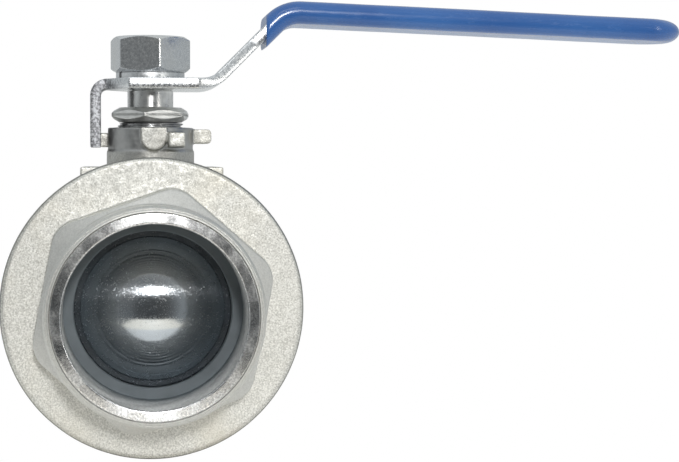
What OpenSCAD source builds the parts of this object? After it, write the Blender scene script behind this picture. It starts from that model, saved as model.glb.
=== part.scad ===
// Two-piece, full-bore floating ball valve with pipe-threaded ends and a lever.
// Millimetres. The origin is the centre of the inlet end face, on the bore axis.
// +Y runs along the bore to the outlet, +Z runs up the stem, and +X is the way
// the lever points while the valve is closed. Threads are plain walls here.

/* [Pipe ends] */
// Length between the two end faces
face_to_face = 125; // [122:1:140]
// Diameter of the full port and of the hole through the ball
port_d = 50; // [46:0.5:50]
// Minor diameter of the internal pipe thread
pipe_thread_d = 56.4; // [55:0.1:57.5]
// Length of the threaded wall from each end face
pipe_thread_length = 24; // [18:0.5:24]
// Diameter of the relief behind the thread
relief_d = 57.4; // [56.5:0.1:58.4]
// Depth of the whole socket from each end face
socket_depth = 30; // [28:0.5:30]
// Diameter of the round collar at each end
collar_d = 67.6; // [66:0.2:69]
// Radius that breaks the collar's outer edge
collar_edge = 2.3; // [1:0.1:2.5]
// Width across the flats of the wrench hexagons
wrench_af = 69.8; // [69:0.2:72]
// Corner radius of the cast hexagons
wrench_corner = 9; // [4:0.5:10]
// Distance from an end face to the start of its hexagon
wrench_setback = 17; // [10:0.5:20]
// Angle of the inlet hexagon about the bore
inlet_hex_angle = 19; // [0:1:59]

/* [Body and end cap] */
// Diameter of the end cap's round flange
cap_flange_d = 96.8; // [94:0.2:98]
// Thickness of the end cap's round flange
cap_flange_t = 5.5; // [5:0.1:6]
// Distance from the stem axis to the joint between body and end cap
joint_y = 25; // [24.5:0.1:25.5]
// Outside diameter of the body barrel
barrel_d = 90; // [88:0.5:91]
// Diameter of the thread that joins the end cap to the body
cap_thread_d = 82; // [81:0.5:83]
// Diameter of the cavity around the ball
cavity_d = 77; // [76.5:0.1:77.5]
// Outside diameter of the neck around the stem
neck_d = 28.3; // [28:0.1:30]
// Height of the neck's top above the bore axis
neck_top = 58.2; // [58:0.1:58.6]

/* [Mounting pad] */
// Width of the square pad below the neck
pad_w = 46; // [45:0.5:47]
// Height of the pad's top above the bore axis
pad_top = 45.2; // [45.1:0.1:45.6]
// Spacing of the four tapped holes, square
pad_hole_pitch = 35.36; // [35:0.01:35.5]
// Tap-drill diameter of the four holes
pad_hole_d = 5; // [4.2:0.1:5.2]
// Depth of the four holes
pad_hole_depth = 6; // [4:0.5:6]

/* [Ball and seats] */
// Diameter of the ball
ball_d = 75; // [74.6:0.1:75.2]
// Outside diameter of the seat rings
seat_od = 66; // [65:0.2:66.2]
// Gap between the ball and the curved faces of its seats
seat_gap = 0.25; // [0.1:0.05:0.4]
// Width of the slot on top of the ball
slot_w = 9.6; // [9.4:0.1:10]

/* [Stem] */
// Diameter of the stem through the packing
stem_d = 15.2; // [15:0.1:15.3]
// Diameter of the stem's threaded upper end
stem_thread_d = 14; // [13:0.1:14]
// Width across the two flats of the stem's upper end
stem_flats = 10.5; // [10:0.1:11]
// Height of the stem's top above the bore axis
stem_top = 87.8; // [86:0.1:88.2]

/* [Lever] */
// Thickness of the lever plate
lever_t = 3.5; // [3:0.1:3.6]
// Height of the lever's underside above the bore axis
lever_z = 70.8; // [70:0.1:72]
// Width of the lever at its hub
hub_w = 37; // [34:0.5:38]
// Width of the lever under the grip
lever_w = 22; // [20:0.5:24]
// Width of the stop tab that hangs down beside the neck
tab_w = 10.6; // [10:0.1:11]
// Distance from the stem axis to the outer face of the stop tab
tab_reach = 19.9; // [19.8:0.1:20.4]
// Height of the stop tab's lower end above the bore axis
tab_bottom = 51.6; // [50:0.1:53]
// Angle of the sloping length between hub and grip
rise_angle = 45; // [35:1:48]
// Straight length of that slope
rise_length = 24.9; // [20:0.1:28]
// Downward angle of the grip
grip_droop = 2.1; // [0.5:0.1:5]
// Straight length of steel inside the grip
grip_length = 130.2; // [110:0.1:140]
// Thickness of the soft sleeve on the lever
sleeve_t = 2.05; // [1.5:0.05:2.5]

/* [Nuts and washer] */
// Width across the flats of the lever nut
nut_af = 24; // [23:0.5:25]
// Height of the lever nut
nut_h = 11.9; // [11.5:0.1:13]
// Width across the flats of the gland nut
gland_af = 24; // [23.8:0.1:25]
// Thickness of the gland nut's hexagon
gland_hex_h = 4.9; // [4.5:0.1:5.2]
// Outside diameter of the split lock washer
washer_od = 22.8; // [21:0.1:24]
// Thickness of the split lock washer
washer_t = 2.2; // [2:0.1:2.6]

/* [Hidden] */
$fn = 96;

// Cuts run this far past the face that they open
past = 1;
half_length = face_to_face / 2;

// Along the bore, measured from the stem axis
seat_floor = 30;
seat_mouth = 19.5;
seat_face = 20;
shoulder_y = half_length - socket_depth;
thread_end_y = half_length - pipe_thread_length;
spigot_end = 14;
gasket_end = 12.6;
barrel_end = 22;
barrel_round = 14;
flange_edge = 1.6;
hex_length = half_length - wrench_setback - joint_y;
chamfer_run = tan(30);

// Up the stem, measured from the bore axis
slot_floor = 28.5;
tang_bottom = 29;
shoulder_bottom = 37.9;
shoulder_top = 39.85;
washer_bottom = 40.1;
stem_pocket_top = 41.2;
o_ring_z = 43.3;
chamber_bottom = 45.4;
packing_base = 0.8;
packing_step = 1.2;
packing_peak = 0.9;
packing_top = 51.4;
gland_bush_top = 53.4;
gland_hex_z = 60;
pad_bottom = 36;
neck_base_top = 50.4;
neck_step = 0.8;
lug_bottom = 51.8;
lug_top = 56.5;

// Radii about the stem
bore_clear = 0.1;
packing_clear = 0.05;
stem_r = stem_d / 2;
stem_bore_r = stem_r + bore_clear;
shoulder_r = 11;
chamber_r = 10.9;
o_ring_wire_r = 0.86;
o_ring_r = 6.76;
o_ring_groove_r = 5.9;
o_ring_groove_w = 2;
lug_reach = 19.5;
lug_w = 5.3;
stop_gap = 0.2;
loose = 0.02;

// Lever path
lower_bend_x = 16.5;
lower_bend_r = 9.75;
upper_bend_r = 11.6;
tab_bend_r = 5.5;
sleeve_start_x = 37.9;
hub_left = -7.5;
hub_right = 15.5;
taper_end = 34;
lever_tip_x = lower_bend_x + lower_bend_r * sin(rise_angle)
    + rise_length * cos(rise_angle)
    + upper_bend_r * (sin(rise_angle) + sin(grip_droop))
    + grip_length * cos(grip_droop);

// Puts a shape made about the ball's centre in its place between the end faces
module at_ball() {
    translate([0, half_length, 0]) children();
}

// Turns local +Z to the inlet; seen from the inlet, X stays right and Y is up
module to_inlet() {
    rotate([90, 0, 0]) children();
}

// Turns local +Z to the outlet
module to_outlet() {
    rotate([-90, 0, 0]) children();
}

// A solid ring about Z
module ring(outer_r, inner_r, low, high) {
    translate([0, 0, low]) difference() {
        cylinder(r = outer_r, h = high - low);
        translate([0, 0, -past]) cylinder(r = inner_r, h = high - low + 2 * past);
    }
}

// Points along an arc, from one angle to another
function arc(centre, r, from, to, steps = 8) = [
    for (i = [0:steps])
        let (a = from + (to - from) * i / steps)
            centre + r * [cos(a), sin(a)]
];

// Outline of a hexagon with round corners, one corner on +X
module round_hexagon(across_flats, corner_r) {
    core_r = (across_flats / 2 - corner_r) / cos(30);
    polygon([
        for (a = [0:60:300])
            each arc(core_r * [cos(a), sin(a)], corner_r, a - 30, a + 30)
    ]);
}

// A round bar from low to high whose upper edge is rounded
module round_edge_bar(r, low, high, edge) {
    rotate_extrude() polygon(concat(
        [[0, low], [r, low]],
        arc([r - edge, high - edge], edge, 0, 90),
        [[0, high]]
    ));
}

// Wrench hexagon and collar of one pipe end, from the joint out to the end face
module pipe_end(hex_angle) {
    hex_top = half_length - wrench_setback;
    cone_r = collar_d / 2;
    intersection() {
        rotate(hex_angle) translate([0, 0, hex_top - hex_length])
            linear_extrude(hex_length) round_hexagon(wrench_af, wrench_corner);
        rotate_extrude() polygon([
            [0, 0],
            [wrench_af, 0],
            [wrench_af, hex_top - (wrench_af - cone_r) * chamfer_run],
            [cone_r, hex_top],
            [0, hex_top]
        ]);
    }
    round_edge_bar(collar_d / 2, joint_y, half_length, collar_edge);
}

// Seat pocket, port and threaded bore of one pipe end
module pipe_end_bores() {
    translate([0, 0, spigot_end - past])
        cylinder(d = cavity_d, h = seat_mouth - spigot_end + past);
    translate([0, 0, seat_mouth - past])
        cylinder(d = seat_od + 0.2, h = seat_floor - seat_mouth + past);
    cylinder(d = port_d, h = half_length);
    translate([0, 0, shoulder_y])
        cylinder(d = relief_d, h = thread_end_y - shoulder_y);
    translate([0, 0, shoulder_y])
        cylinder(d = pipe_thread_d, h = socket_depth + past);
}

// Square pad whose four tapped holes are cut later
module pad() {
    translate([-pad_w / 2, -pad_w / 2, pad_bottom])
        cube([pad_w, pad_w, pad_top - pad_bottom]);
}

module pad_holes() {
    for (x = [-1, 1], y = [-1, 1])
        translate([x * pad_hole_pitch / 2, y * pad_hole_pitch / 2, pad_top - pad_hole_depth])
            cylinder(d = pad_hole_d, h = pad_hole_depth + past);
}

// One stop lug: it stands beside the tab, tab_w / 2 from the line along +X
module stop_lug() {
    translate([0, tab_w / 2 + stop_gap, lug_bottom])
        cube([lug_reach, lug_w, lug_top - lug_bottom]);
}

// Plain lug on the lever's side of the neck, with a rounded end
module side_lug() {
    reach = 20.2;
    width = 5;
    low = 52.9;
    high = 57.7;
    edge = 1.2;
    translate([0, width / 2, 0]) rotate([90, 0, 0]) linear_extrude(width)
        polygon(concat(
            [[0, low]],
            arc([reach - edge, low + edge], edge, -90, 0),
            arc([reach - edge, high - edge], edge, 0, 90),
            [[0, high]]
        ));
}

// Raised shield on the inlet side of the neck, round at its lower end
module neck_shield() {
    left = -3.5;
    right = 5.1;
    low = 50.6;
    reach = 15.8;
    r = (right - left) / 2;
    rotate([90, 0, 0]) linear_extrude(reach)
        polygon(concat(
            [[right, neck_top], [left, neck_top]],
            arc([left + r, low + r], r, 180, 360)
        ));
}

module neck() {
    cylinder(d = neck_d, h = neck_top);
    cylinder(d = neck_d + neck_step, h = neck_base_top);
    rotate(180) mirror([0, 1, 0]) stop_lug();
    rotate(270) stop_lug();
    side_lug();
    neck_shield();
}

module neck_bores() {
    cylinder(r = shoulder_r + 0.3, h = stem_pocket_top);
    cylinder(r = stem_bore_r, h = neck_top);
    translate([0, 0, chamber_bottom])
        cylinder(r = chamber_r, h = neck_top - chamber_bottom + past);
}

module barrel() {
    round_edge_bar(barrel_d / 2, -joint_y, barrel_end + barrel_round, barrel_round);
}

module body_casting() {
    color("#c9c7bd") at_ball() difference() {
        union() {
            to_outlet() {
                barrel();
                pipe_end(30);
            }
            pad();
            neck();
        }
        to_outlet() {
            pipe_end_bores();
            translate([0, 0, -gasket_end])
                cylinder(d = cavity_d, h = gasket_end + spigot_end);
        }
        to_inlet() translate([0, 0, gasket_end])
            cylinder(d = cap_thread_d, h = joint_y - gasket_end + past);
        neck_bores();
        pad_holes();
    }
}

module end_cap() {
    color("#d0cec4") at_ball() to_inlet() difference() {
        union() {
            pipe_end(inlet_hex_angle);
            round_edge_bar(cap_flange_d / 2, joint_y, joint_y + cap_flange_t, flange_edge);
            translate([0, 0, spigot_end])
                cylinder(d = cap_thread_d - 2 * loose, h = joint_y - spigot_end + past);
        }
        pipe_end_bores();
    }
}

module body_gasket() {
    color("#f0f0ea") at_ball() to_inlet()
        ring(cap_thread_d / 2 - 0.1, cavity_d / 2 + 0.1, gasket_end, spigot_end);
}

// Ring whose inner face follows the ball, standing along +Z
module seat() {
    difference() {
        ring(seat_od / 2, port_d / 2 + 0.25, seat_face, seat_floor);
        sphere(r = ball_d / 2 + seat_gap);
    }
}

module seat_inlet() {
    color("#f4f4ee") at_ball() to_inlet() seat();
}

module seat_outlet() {
    color("#f4f4ee") at_ball() to_outlet() seat();
}

module ball() {
    slot_length = 2 * ball_d;
    color("#9aa0a6") at_ball() difference() {
        sphere(d = ball_d);
        rotate([0, 90, 0]) cylinder(d = port_d, h = 2 * ball_d, center = true);
        translate([-slot_w / 2, -slot_length / 2, slot_floor])
            cube([slot_w, slot_length, ball_d]);
    }
}

module stem() {
    tang_w = slot_w - 0.6;
    color("#a9adb0") at_ball() difference() {
        union() {
            intersection() {
                translate([-tang_w / 2, -shoulder_r, tang_bottom])
                    cube([tang_w, 2 * shoulder_r, shoulder_top - tang_bottom]);
                cylinder(r = shoulder_r, h = shoulder_top);
            }
            translate([0, 0, shoulder_bottom])
                cylinder(r = shoulder_r, h = shoulder_top - shoulder_bottom);
            translate([0, 0, shoulder_bottom])
                cylinder(r = stem_r, h = lever_z - shoulder_bottom);
            intersection() {
                translate([0, 0, lever_z - past])
                    cylinder(d = stem_thread_d, h = stem_top - lever_z + past);
                translate([-stem_thread_d, -stem_flats / 2, 0])
                    cube([2 * stem_thread_d, stem_flats, stem_top]);
            }
        }
        ring(stem_r + past, o_ring_groove_r,
            o_ring_z - o_ring_groove_w / 2, o_ring_z + o_ring_groove_w / 2);
    }
}

module thrust_washer() {
    color("#f0f0ea") at_ball()
        ring(shoulder_r + 0.1, stem_bore_r, washer_bottom, stem_pocket_top);
}

module stem_o_ring() {
    color("#202022") at_ball() translate([0, 0, o_ring_z])
        rotate_extrude() translate([o_ring_r, 0]) circle(r = o_ring_wire_r);
}

// Packing ring: its upper and lower faces are each flat (0) or peaked (1)
module packing_ring(low, high, low_peak, high_peak) {
    inner_r = stem_r + packing_clear;
    outer_r = chamber_r - loose;
    mid_r = (inner_r + outer_r) / 2;
    color("#e9e7df") at_ball() rotate_extrude() polygon([
        [inner_r, low],
        [mid_r, low + low_peak * packing_peak],
        [outer_r, low],
        [outer_r, high],
        [mid_r, high + high_peak * packing_peak],
        [inner_r, high]
    ]);
}

// Height of the underside of the V ring with this index
function v_ring_z(index) = chamber_bottom + packing_base + index * packing_step;

module packing_bottom_ring() {
    packing_ring(chamber_bottom, v_ring_z(0), 0, 1);
}

module packing_v_ring_1() {
    packing_ring(v_ring_z(0), v_ring_z(1), 1, 1);
}

module packing_v_ring_2() {
    packing_ring(v_ring_z(1), v_ring_z(2), 1, 1);
}

module packing_v_ring_3() {
    packing_ring(v_ring_z(2), v_ring_z(3), 1, 1);
}

module packing_top_ring() {
    packing_ring(v_ring_z(3), packing_top, 1, 0);
}

module gland_bush() {
    color("#b4b6b6") at_ball()
        ring(chamber_r - loose, stem_bore_r, packing_top, gland_bush_top);
}

// Hexagonal prism whose corners are turned away at both ends
module chamfered_hexagon(across_flats, height, end_r) {
    corner_r = across_flats / 2 / cos(30);
    run = (corner_r - end_r) * chamfer_run;
    intersection() {
        cylinder(r = corner_r, h = height, $fn = 6);
        rotate_extrude() polygon([
            [0, 0],
            [end_r, 0],
            [corner_r, run],
            [corner_r, height - run],
            [end_r, height],
            [0, height]
        ]);
    }
}

module gland_nut() {
    corner_angle = 20.6;
    color("#9b9d9c") at_ball() difference() {
        union() {
            translate([0, 0, gland_hex_z]) rotate(corner_angle)
                chamfered_hexagon(gland_af, gland_hex_h, 0.43 * gland_af);
            translate([0, 0, gland_bush_top])
                cylinder(r = chamber_r - loose, h = gland_hex_z - gland_bush_top + past);
        }
        cylinder(r = stem_r + 0.2, h = gland_hex_z + gland_hex_h + past);
    }
}

// Side view of a bent strip: its lower face from start to end, then back along
// its upper face. Each bend is [centre, radius, from, to] of the centreline.
module bent_strip(start, bends, end, thickness) {
    half = thickness / 2;
    polygon(concat(
        [start - [0, half]],
        [for (b = bends) each arc(b[0], b[1] + half * sign(b[3] - b[2]), b[2], b[3])],
        [end + half * [-sin(grip_droop), -cos(grip_droop)]],
        [end + half * [sin(grip_droop), cos(grip_droop)]],
        [
            for (i = [len(bends) - 1:-1:0])
                let (b = bends[i])
                    each arc(b[0], b[1] - half * sign(b[3] - b[2]), b[3], b[2])
        ],
        [start + [0, half]]
    ));
}

// Side view of the lever from the hub to the tip, for steel or for its sleeve
module lever_arm_side(thickness, tip) {
    rise = [cos(rise_angle), sin(rise_angle)];
    droop = [cos(grip_droop), -sin(grip_droop)];
    lower_centre = [lower_bend_x, lever_z + lever_t / 2 + lower_bend_r];
    lower_end = lower_centre + lower_bend_r * [rise.y, -rise.x];
    upper_centre = lower_end + rise_length * rise + upper_bend_r * [rise.y, -rise.x];
    upper_end = upper_centre - upper_bend_r * [droop.y, -droop.x];
    bent_strip(
        [hub_left + past, lever_z + lever_t / 2],
        [
            [lower_centre, lower_bend_r, -90, rise_angle - 90],
            [upper_centre, upper_bend_r, 90 + rise_angle, 90 - grip_droop]
        ],
        upper_end + (grip_length + tip) * droop,
        thickness
    );
}

// Side view of the hub and of the stop tab bent down from it
module lever_hub_side() {
    bend = [tab_bend_r - tab_reach, lever_z + lever_t - tab_bend_r];
    polygon(concat(
        [[lower_bend_x, lever_z], [lower_bend_x, lever_z + lever_t]],
        arc(bend, tab_bend_r, 90, 180),
        [[-tab_reach, tab_bottom], [-tab_reach + lever_t, tab_bottom]],
        arc(bend, tab_bend_r - lever_t, 180, 90)
    ));
}

// Outline of a grip from above: straight sides and a half-round tip
module grip_outline(width, tip_x, from_x) {
    r = width / 2;
    polygon(concat(
        [[from_x, r], [from_x, -r]],
        arc([tip_x - r, 0], r, -90, 90, 24)
    ));
}

// Outline of the lever from above
module lever_outline() {
    translate([-2 * tab_reach, -tab_w / 2]) square([2 * tab_reach, tab_w]);
    polygon(concat(
        [
            [hub_left, hub_w / 2],
            [tab_bend_r - tab_reach, tab_w / 2],
            [tab_bend_r - tab_reach, -tab_w / 2],
            [hub_left, -hub_w / 2],
            [hub_right, -hub_w / 2],
            [taper_end, -lever_w / 2]
        ],
        arc([lever_tip_x - lever_w / 2, 0], lever_w / 2, -90, 90, 24),
        [
            [taper_end, lever_w / 2],
            [hub_right, hub_w / 2]
        ]
    ));
}

// Side view and outline made into one solid
module side_and_outline() {
    span = 120;
    intersection() {
        translate([0, span / 2, 0]) rotate([90, 0, 0]) linear_extrude(span) children(0);
        linear_extrude(span) children(1);
    }
}

module lever_solid() {
    side_and_outline() {
        union() {
            lever_hub_side();
            lever_arm_side(lever_t, 0);
        }
        lever_outline();
    }
}

module handle_lever() {
    hole_clear = 0.1;
    color("#c8ccd0") at_ball() difference() {
        lever_solid();
        intersection() {
            cylinder(d = stem_thread_d + 2 * hole_clear, h = stem_top);
            translate([-stem_thread_d, -stem_flats / 2 - hole_clear, 0])
                cube([2 * stem_thread_d, stem_flats + 2 * hole_clear, stem_top]);
        }
    }
}

module handle_grip() {
    color("#3f6fb5") at_ball() difference() {
        side_and_outline() {
            lever_arm_side(lever_t + 2 * sleeve_t, sleeve_t);
            grip_outline(lever_w + 2 * sleeve_t, lever_tip_x + sleeve_t, sleeve_start_x);
        }
        lever_solid();
    }
}

module lock_washer() {
    split_angle = 209;
    split_w = 1.2;
    color("#a3a5a6") at_ball() difference() {
        translate([0, 0, lever_z + lever_t])
            ring(washer_od / 2, stem_thread_d / 2 + 0.2, 0, washer_t);
        rotate(split_angle) translate([0, -split_w / 2, lever_z])
            cube([washer_od, split_w, nut_h]);
    }
}

module handle_nut() {
    corner_angle = 42.2;
    color("#b9bdc2") at_ball()
        translate([0, 0, lever_z + lever_t + washer_t]) rotate(corner_angle) difference() {
            chamfered_hexagon(nut_af, nut_h, 0.475 * nut_af);
            translate([0, 0, -past])
                cylinder(r = stem_thread_d / 2 + loose, h = nut_h + 2 * past);
        }
}

body_casting();
end_cap();
body_gasket();
seat_inlet();
seat_outlet();
ball();
stem();
thrust_washer();
stem_o_ring();
packing_bottom_ring();
packing_v_ring_1();
packing_v_ring_2();
packing_v_ring_3();
packing_top_ring();
gland_bush();
gland_nut();
handle_lever();
handle_grip();
lock_washer();
handle_nut();
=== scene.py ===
"""Two-piece threaded ball valve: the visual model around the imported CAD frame."""

import math

import bmesh
import bpy
import numpy as np
from mathutils import Matrix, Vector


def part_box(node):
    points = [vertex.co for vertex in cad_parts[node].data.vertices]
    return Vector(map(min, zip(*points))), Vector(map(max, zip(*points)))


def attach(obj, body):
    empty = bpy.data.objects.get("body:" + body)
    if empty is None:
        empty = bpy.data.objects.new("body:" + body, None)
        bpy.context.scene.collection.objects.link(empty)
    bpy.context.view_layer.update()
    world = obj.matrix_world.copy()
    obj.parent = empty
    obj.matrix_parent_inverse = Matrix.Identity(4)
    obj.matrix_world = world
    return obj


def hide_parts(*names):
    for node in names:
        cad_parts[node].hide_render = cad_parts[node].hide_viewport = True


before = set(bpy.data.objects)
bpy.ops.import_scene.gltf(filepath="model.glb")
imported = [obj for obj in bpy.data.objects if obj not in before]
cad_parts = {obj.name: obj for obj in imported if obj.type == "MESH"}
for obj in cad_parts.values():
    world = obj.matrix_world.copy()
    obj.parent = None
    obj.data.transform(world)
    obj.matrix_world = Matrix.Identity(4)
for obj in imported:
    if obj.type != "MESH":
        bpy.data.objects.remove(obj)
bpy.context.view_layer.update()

# ---------------------------------------------------------------- sizes, mm
MM = 0.001


def node_box(node):
    """Lowest and highest corner of a CAD node, in millimetres."""
    low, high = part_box(node)
    return np.array(low) / MM, np.array(high) / MM


BALL_LOW, BALL_HIGH = node_box("ball")
CAP_LOW, CAP_HIGH = node_box("end_cap")
BODY_LOW, BODY_HIGH = node_box("body_casting")
LEVER_LOW, LEVER_HIGH = node_box("handle_lever")
GRIP_HIGH = node_box("handle_grip")[1]
STEM_LOW, STEM_HIGH = node_box("stem")
GLAND_LOW, GLAND_HIGH = node_box("gland_nut")
NUT_LOW, NUT_HIGH = node_box("handle_nut")
WASHER_LOW, WASHER_HIGH = node_box("lock_washer")

STEM_Y = (BALL_LOW[1] + BALL_HIGH[1]) / 2
FACE_TO_FACE = BODY_HIGH[1] - CAP_LOW[1]
BALL_R = (BALL_HIGH[1] - BALL_LOW[1]) / 2
FLANGE_R = (CAP_HIGH[0] - CAP_LOW[0]) / 2

# Bores of each pipe end: (radius, depth from the end face)
THREAD_R, THREAD_DEPTH = 28.2, 24.0
RELIEF_R, SOCKET_DEPTH = 28.7, 30.0
PORT_R, LIP_DEPTH = 25.0, 32.5
SEAT_R, SEAT_DEPTH = 33.1, 43.0
CAVITY_R = 38.5
PIPE_PITCH = 2.309
PIPE_THREAD_H = 1.1

# Outside of each pipe end
FACE_R = 31.5
COLLAR_R, COLLAR_EDGE = 33.8, 2.3
HEX_AF, HEX_CORNER, HEX_SETBACK = 69.8, 9.0, 17.0
OUTLET_HEX_END = 21.8
INLET_CORNER, OUTLET_CORNER = 19.0, 30.0
CHAMFER = math.tan(math.radians(30))

# End cap and body
FLANGE_Y, JOINT_Y = 32.0, 37.5
FLANGE_EDGE = 1.6
SPIGOT_R, SPIGOT_Y = 40.98, 48.5
BORE_R, BORE_Y = 41.0, 49.9
BARREL_R, BARREL_Y, BARREL_ROUND = 45.0, 84.5, 14.0
PAD_HALF, PAD_TOP = 23.0, 45.2
NECK_R, LUG_SHADE_R = 14.15, 16.2
PAD_HOLE, PAD_HOLE_AT, PAD_HOLE_DEPTH = 2.5, 17.68, 6.0
SHOULDER_BORE, SHOULDER_BORE_TOP = 11.3, 41.2
STEM_BORE, CHAMBER_R, CHAMBER_Z = 7.7, 10.9, 45.4

# Stem
STEM_R, SHOULDER_R, TANG_HALF = 7.6, 11.0, 4.5
SHOULDER_Z, STEM_BODY_Z = 37.9, 39.85
GROOVE_R, GROOVE_LOW, GROOVE_HIGH = 5.9, 42.3, 44.3
STEM_END_R, FLAT_HALF = 7.0, 5.25
SLOT_HALF, SLOT_FLOOR = 4.8, 28.5

# Lever, as a plate bent along a line in the XZ plane
PLATE_T, LEVER_Z = 3.5, 70.8
MID_Z = LEVER_Z + PLATE_T / 2
TAB_HALF, HUB_HALF, ARM_HALF = 5.3, 18.5, 11.0
HUB_X, HUB_END_X, TAPER_X = -7.5, 15.5, 34.0
LOWER_BEND_X, LOWER_BEND_R, RISE, RISE_DEG = 16.5, 9.75, 24.9, 45.0
UPPER_BEND_R, DROOP_DEG = 11.6, 2.1
TAB_BEND_R = 5.5
SLEEVE_T, SLEEVE_X = 2.05, 37.9

# Nuts
NUT_AF = 24.0
NUT_END_R, GLAND_END_R = 0.475 * NUT_AF, 0.43 * NUT_AF
NUT_CORNER, GLAND_CORNER = 42.2, 20.6
GLAND_HEX_Z, GLAND_THREAD_R = 60.0, 10.88
SPLIT_DEG = 209.0


# ------------------------------------------------------------- small maths
def arc(centre, radius, start, end, steps):
    """Points on an arc in the plane, angles in degrees."""
    a = np.radians(np.linspace(start, end, steps + 1))
    return np.column_stack([centre[0] + radius * np.cos(a), centre[1] + radius * np.sin(a)])


def straight(p, q, step=1.0):
    """Evenly spaced points from p to q, both included."""
    p, q = np.asarray(p, float), np.asarray(q, float)
    count = max(1, int(math.ceil(np.linalg.norm(q - p) / step)))
    t = np.linspace(0, 1, count + 1)[:, None]
    return p + (q - p) * t


def trail(*parts):
    """Joins stretches of points and drops repeated ones."""
    points = np.vstack([np.atleast_2d(p) for p in parts])
    keep = np.r_[True, np.linalg.norm(np.diff(points, axis=0), axis=1) > 1e-6]
    return points[keep]


def soft_min(a, b, k):
    """Smaller of a and b, with the crossing rounded over about k."""
    h = np.clip(0.5 + 0.5 * (b - a) / k, 0, 1)
    return b + (a - b) * h - k * h * (1 - h)


def soft_max(a, b, k):
    return -soft_min(-np.asarray(a, float), -np.asarray(b, float), k)


def smooth(t):
    t = np.clip(t, 0, 1)
    return t * t * (3 - 2 * t)


def hexagon(theta, across_flats, corner_r, corner_deg):
    """Polar radius of a hexagon with round corners."""
    phi = np.mod(theta - math.radians(corner_deg) + math.pi / 6, math.pi / 3) - math.pi / 6
    core = (across_flats / 2 - corner_r) / math.cos(math.pi / 6)
    end = math.atan2(corner_r / 2, core + corner_r * math.cos(math.pi / 6))
    flat = across_flats / 2 / np.cos(math.pi / 6 - np.abs(phi))
    inside = np.maximum(corner_r**2 - (core * np.sin(phi)) ** 2, 0)
    return np.where(np.abs(phi) < end, core * np.cos(phi) + np.sqrt(inside), flat)


def ripple(points, size, seed):
    """Gentle unevenness from -1 to 1 with waves about size long."""
    draw = np.random.default_rng(seed)
    total = np.zeros(points.shape[:-1])
    waves = 7
    for _ in range(waves):
        direction = draw.normal(size=3)
        direction /= np.linalg.norm(direction)
        length = size * draw.uniform(0.6, 1.6)
        total += np.sin(points @ direction * 2 * math.pi / length + draw.uniform(0, 6.28))
    return total / waves * 1.6


def ridge(turns):
    """Height from 0 to 1 of a thread with a rounded crest and root."""
    t = np.abs(np.mod(turns, 1) * 2 - 1)
    return smooth((t - 0.12) / 0.76)


# ------------------------------------------------------------ mesh building
def piece(name, verts, faces, bands=None, angle=32, weld=0.0):
    """A mesh object from millimetre points, shaded smooth with crisp corners."""
    mesh = bpy.data.meshes.new(name)
    mesh.from_pydata((np.asarray(verts, float) * MM).tolist(), [], faces)
    if bands is not None:
        mesh.polygons.foreach_set("material_index", np.asarray(bands, np.int32))
    bm = bmesh.new()
    bm.from_mesh(mesh)
    if weld:
        bmesh.ops.remove_doubles(bm, verts=bm.verts, dist=weld * MM)
        bmesh.ops.dissolve_degenerate(bm, edges=bm.edges, dist=weld * MM)
    if bm.calc_volume(signed=True) < 0:
        bmesh.ops.reverse_faces(bm, faces=bm.faces)
    bm.to_mesh(mesh)
    bm.free()
    obj = bpy.data.objects.new(name, mesh)
    bpy.context.scene.collection.objects.link(obj)
    crisp(obj, angle)
    return obj


def crisp(obj, angle=32):
    """Smooth shading that breaks where faces meet at more than angle degrees."""
    mesh = obj.data
    mesh.shade_smooth()
    mesh.set_sharp_from_angle(angle=math.radians(angle))
    return obj


def skin(name, rows, closed=False, bands=None, angle=32, weld=0.0, fans=(True, True)):
    """A tube of quads through rows of points. An open tube is closed by a fan at each end."""
    rows = np.asarray(rows, float)
    count, around = rows.shape[:2]
    verts = rows.reshape(-1, 3)
    i = np.arange(count if closed else count - 1)[:, None]
    j = np.arange(around)[None, :]
    here, after = i * around, (i + 1) % count * around
    beside = (j + 1) % around
    quads = np.stack([here + j, here + beside, after + beside, after + j], -1)
    faces = quads.reshape(-1, 4).tolist()
    index = None
    if bands is not None:
        index = np.repeat(np.asarray(bands)[: len(i)], around)
    for row, wanted, flip in ((0, fans[0], True), (count - 1, fans[1], False)):
        if closed or not wanted:
            continue
        centre = len(verts)
        verts = np.vstack([verts, rows[row].mean(0)])
        ring = row * around + np.arange(around + 1) % around
        pairs = zip(ring[1:], ring[:-1]) if flip else zip(ring[:-1], ring[1:])
        faces += [[centre, int(p), int(q)] for p, q in pairs]
        if bands is not None:
            index = np.r_[index, np.full(around, bands[row - 1 if row else 0])]
    return piece(name, verts, faces, index, angle, weld)


def turned(radii, along, theta, axis):
    """Points of rows turned about an axis: polar radius and height for each row and angle."""
    radii, along, theta = np.broadcast_arrays(radii, along, theta)
    a, b = radii * np.cos(theta), radii * np.sin(theta)
    if axis == "Y":
        return np.stack([a, along, b], -1)
    if axis == "X":
        return np.stack([along, STEM_Y + a, b], -1)
    return np.stack([a, STEM_Y + b, along], -1)


def angles(count):
    return np.arange(count) * 2 * math.pi / count


def corner_angles(count, corner_deg, crowd=0.86):
    """Angles round a hexagon, crowded at its corners."""
    even = angles(count)
    return even - crowd * np.sin(6 * even) / 6 + math.radians(corner_deg)


def cut(target, tool, operation="DIFFERENCE"):
    """Applies an exact boolean on solid meshes and removes the tool."""
    modifier = target.modifiers.new("cut", "BOOLEAN")
    modifier.operation = operation
    modifier.solver = "MANIFOLD"
    modifier.object = tool
    bake(target)
    bpy.data.objects.remove(tool)
    return target


def bake(obj):
    """Makes the modifiers of obj part of its mesh."""
    bpy.context.view_layer.update()
    graph = bpy.context.evaluated_depsgraph_get()
    mesh = bpy.data.meshes.new_from_object(obj.evaluated_get(graph))
    obj.modifiers.clear()
    obj.data = mesh
    return obj


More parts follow.
